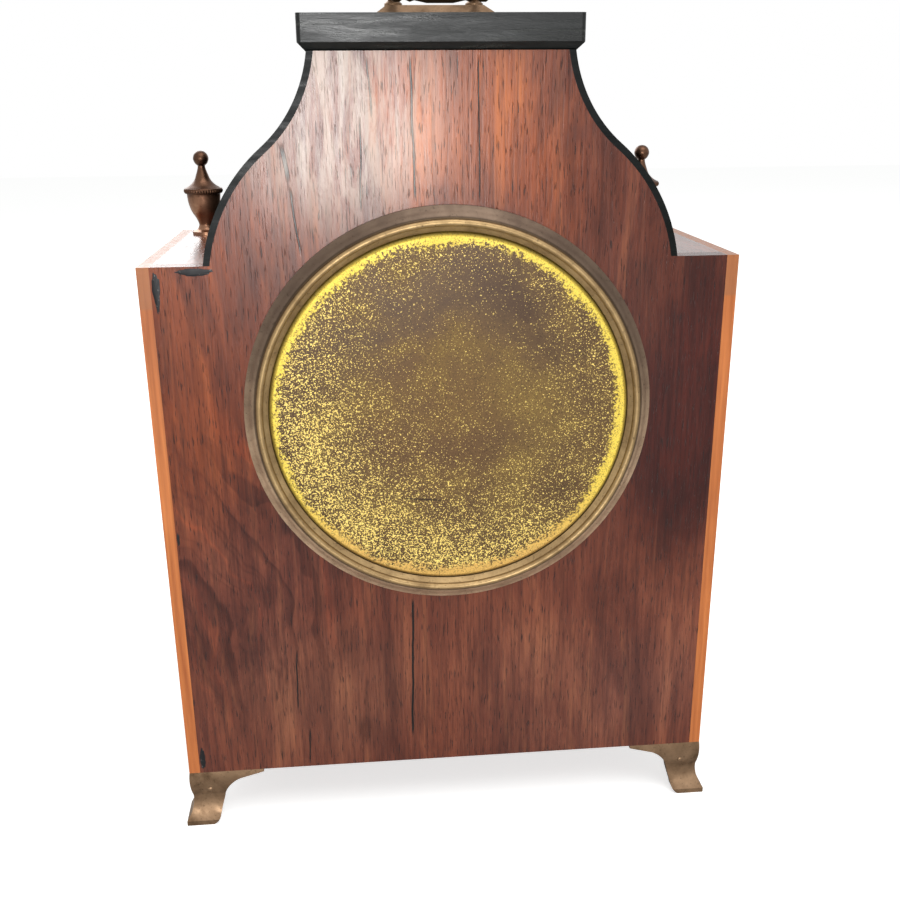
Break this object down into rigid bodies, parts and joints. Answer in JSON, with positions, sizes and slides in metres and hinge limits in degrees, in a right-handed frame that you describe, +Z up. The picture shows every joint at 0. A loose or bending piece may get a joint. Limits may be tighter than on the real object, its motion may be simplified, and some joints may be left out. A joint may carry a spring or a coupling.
{
  "type": "bracket clock",
  "caption": "Small wooden bracket clock with a curved neck, ebonised cap, urn finials, brass bracket feet, folding handle, glazed bezel and round rear cover.",
  "frame": {"origin": "on the floor under the middle of the case", "axes": "+Z up, the dial faces -Y, the round brass cover faces +Y, +X to the right as the dial is read"},
  "size_m": [0.1698, 0.093, 0.2542],
  "materials": {
    "rosewood": "old french polish over reddish brown figured veneer",
    "boxwood": "polished orange-yellow stringing",
    "ebonised_wood": "worn black stain under polish",
    "softwood": "raw, glue stained",
    "aged_brass": "dull, browned, bright on edges",
    "bronzed_brass": "dark bronzed",
    "lacquered_brass": "worn gold lacquer, brown speckled tarnish",
    "movement_brass": "clean, lightly lacquered",
    "steel": "polished",
    "blued_steel": "heat blued",
    "dial_enamel": "white enamel with plain numerals",
    "glass": "clear, slightly domed"
  },
  "bodies": {
    "case": {"back_board": "rosewood", "front_board": "rosewood", "side_left": "rosewood", "side_right": "rosewood", "base_board": "rosewood", "top_board": "rosewood", "shoulder_board_left": "rosewood", "shoulder_board_right": "rosewood", "corner_strings": "boxwood", "shoulder_strings": "boxwood", "neck_side_left": "ebonised_wood", "neck_side_right": "ebonised_wood", "cap": "ebonised_wood", "glue_blocks": "softwood", "foot_back_left": "aged_brass", "foot_back_right": "aged_brass", "foot_front_left": "aged_brass", "foot_front_right": "aged_brass", "finials": "bronzed_brass", "handle_plate": "aged_brass", "handle_posts": "aged_brass", "handle_pins": "aged_brass", "rear_ring": "aged_brass", "bezel_seat": "aged_brass", "hinge_pin": "aged_brass", "dial": "dial_enamel", "straps": "movement_brass", "front_plate": "movement_brass", "back_plate": "movement_brass", "pillars": "movement_brass", "escape_cock": "movement_brass", "balance_cock": "movement_brass", "foot_screws": "steel", "strap_screws": "steel", "movement_screws": "steel", "click_spring": "steel", "hairspring": "steel"},
    "bail": {"handle_bail": "aged_brass", "handle_grip": "aged_brass"},
    "bezel": {"bezel": "aged_brass", "bezel_glass": "glass"},
    "rear_cover": {"rear_cover": "lacquered_brass"},
    "barrel": {"barrel": "movement_brass", "mainspring": "steel"},
    "winding_arbor": {"barrel_arbor": "steel", "ratchet_wheel": "steel"},
    "click": {"click": "steel"},
    "centre": {"centre_wheel": "movement_brass", "hand_nut": "movement_brass"},
    "third": {"third_wheel": "movement_brass"},
    "fourth": {"fourth_wheel": "movement_brass"},
    "escape": {"escape_wheel": "steel"},
    "minute": {"cannon_pinion": "steel", "minute_hand": "blued_steel"},
    "minute_wheel": {"minute_wheel": "movement_brass"},
    "hour": {"hour_wheel": "movement_brass", "hour_hand": "blued_steel"},
    "lever": {"lever": "steel"},
    "balance": {"balance": "movement_brass"}
  },
  "joints": [
    {"name": "bail_fold", "type": "hinge", "parent": "case", "child": "bail", "pos_m": [-0.0011, 0, 0.2515], "axis": [1, 0, 0], "range_deg": [0, 201]},
    {"name": "bezel_swing", "type": "hinge", "parent": "case", "child": "bezel", "pos_m": [0.0587, -0.0434, 0.1355], "axis": [0, 0, 1], "range_deg": [0, 110]},
    {"name": "cover_pull", "type": "slide", "parent": "case", "child": "rear_cover", "axis": [0, 1, 0], "range_m": [0, 0.06]},
    {"name": "minute_hand_turn", "type": "hinge", "parent": "case", "child": "minute", "pos_m": [-0.0011, -0.041, 0.1355], "axis": [0, 1, 0], "continuous": true},
    {"name": "minute_wheel_turn", "type": "hinge", "parent": "case", "child": "minute_wheel", "pos_m": [0.00536, -0.034, 0.13008], "axis": [0, 1, 0], "continuous": true},
    {"name": "hour_hand_turn", "type": "hinge", "parent": "case", "child": "hour", "pos_m": [-0.0011, -0.04, 0.1355], "axis": [0, 1, 0], "continuous": true},
    {"name": "fourth_wheel_turn", "type": "hinge", "parent": "case", "child": "fourth", "pos_m": [-0.00295, -0.024, 0.15288], "axis": [0, 1, 0], "continuous": true},
    {"name": "third_wheel_turn", "type": "hinge", "parent": "case", "child": "third", "pos_m": [0.00812, -0.02, 0.14649], "axis": [0, 1, 0], "continuous": true},
    {"name": "centre_wheel_turn", "type": "hinge", "parent": "case", "child": "centre", "pos_m": [-0.0011, -0.016, 0.1355], "axis": [0, 1, 0], "continuous": true},
    {"name": "barrel_turn", "type": "hinge", "parent": "case", "child": "barrel", "pos_m": [-0.0011, -0.024, 0.11342], "axis": [0, 1, 0], "continuous": true},
    {"name": "escape_wheel_turn", "type": "hinge", "parent": "case", "child": "escape", "pos_m": [-0.01482, -0.009, 0.15391], "axis": [0, 1, 0], "continuous": true},
    {"name": "winding_turn", "type": "hinge", "parent": "case", "child": "winding_arbor", "pos_m": [-0.0011, -0.01, 0.11342], "axis": [0, 1, 0], "continuous": true},
    {"name": "click_lift", "type": "hinge", "parent": "case", "child": "click", "pos_m": [0.0098, -0.01, 0.11739], "axis": [0, 1, 0], "range_deg": [0, 6]},
    {"name": "lever_swing", "type": "hinge", "parent": "case", "child": "lever", "pos_m": [-0.01646, -0.009, 0.14778], "axis": [0, 1, 0], "range_deg": [-4, 4]},
    {"name": "balance_swing", "type": "hinge", "parent": "case", "child": "balance", "pos_m": [-0.01868, -0.003, 0.13947], "axis": [0, 1, 0], "range_deg": [-150, 150]}
  ],
  "couplings": [
    {"joint": "hour_hand_turn", "follows": "minute_hand_turn", "ratio": 0.083333},
    {"joint": "minute_wheel_turn", "follows": "minute_hand_turn", "ratio": -0.33333},
    {"joint": "third_wheel_turn", "follows": "fourth_wheel_turn", "ratio": -0.13333},
    {"joint": "centre_wheel_turn", "follows": "fourth_wheel_turn", "ratio": 0.016667},
    {"joint": "barrel_turn", "follows": "fourth_wheel_turn", "ratio": -0.0027778},
    {"joint": "escape_wheel_turn", "follows": "fourth_wheel_turn", "ratio": -10}
  ]
}
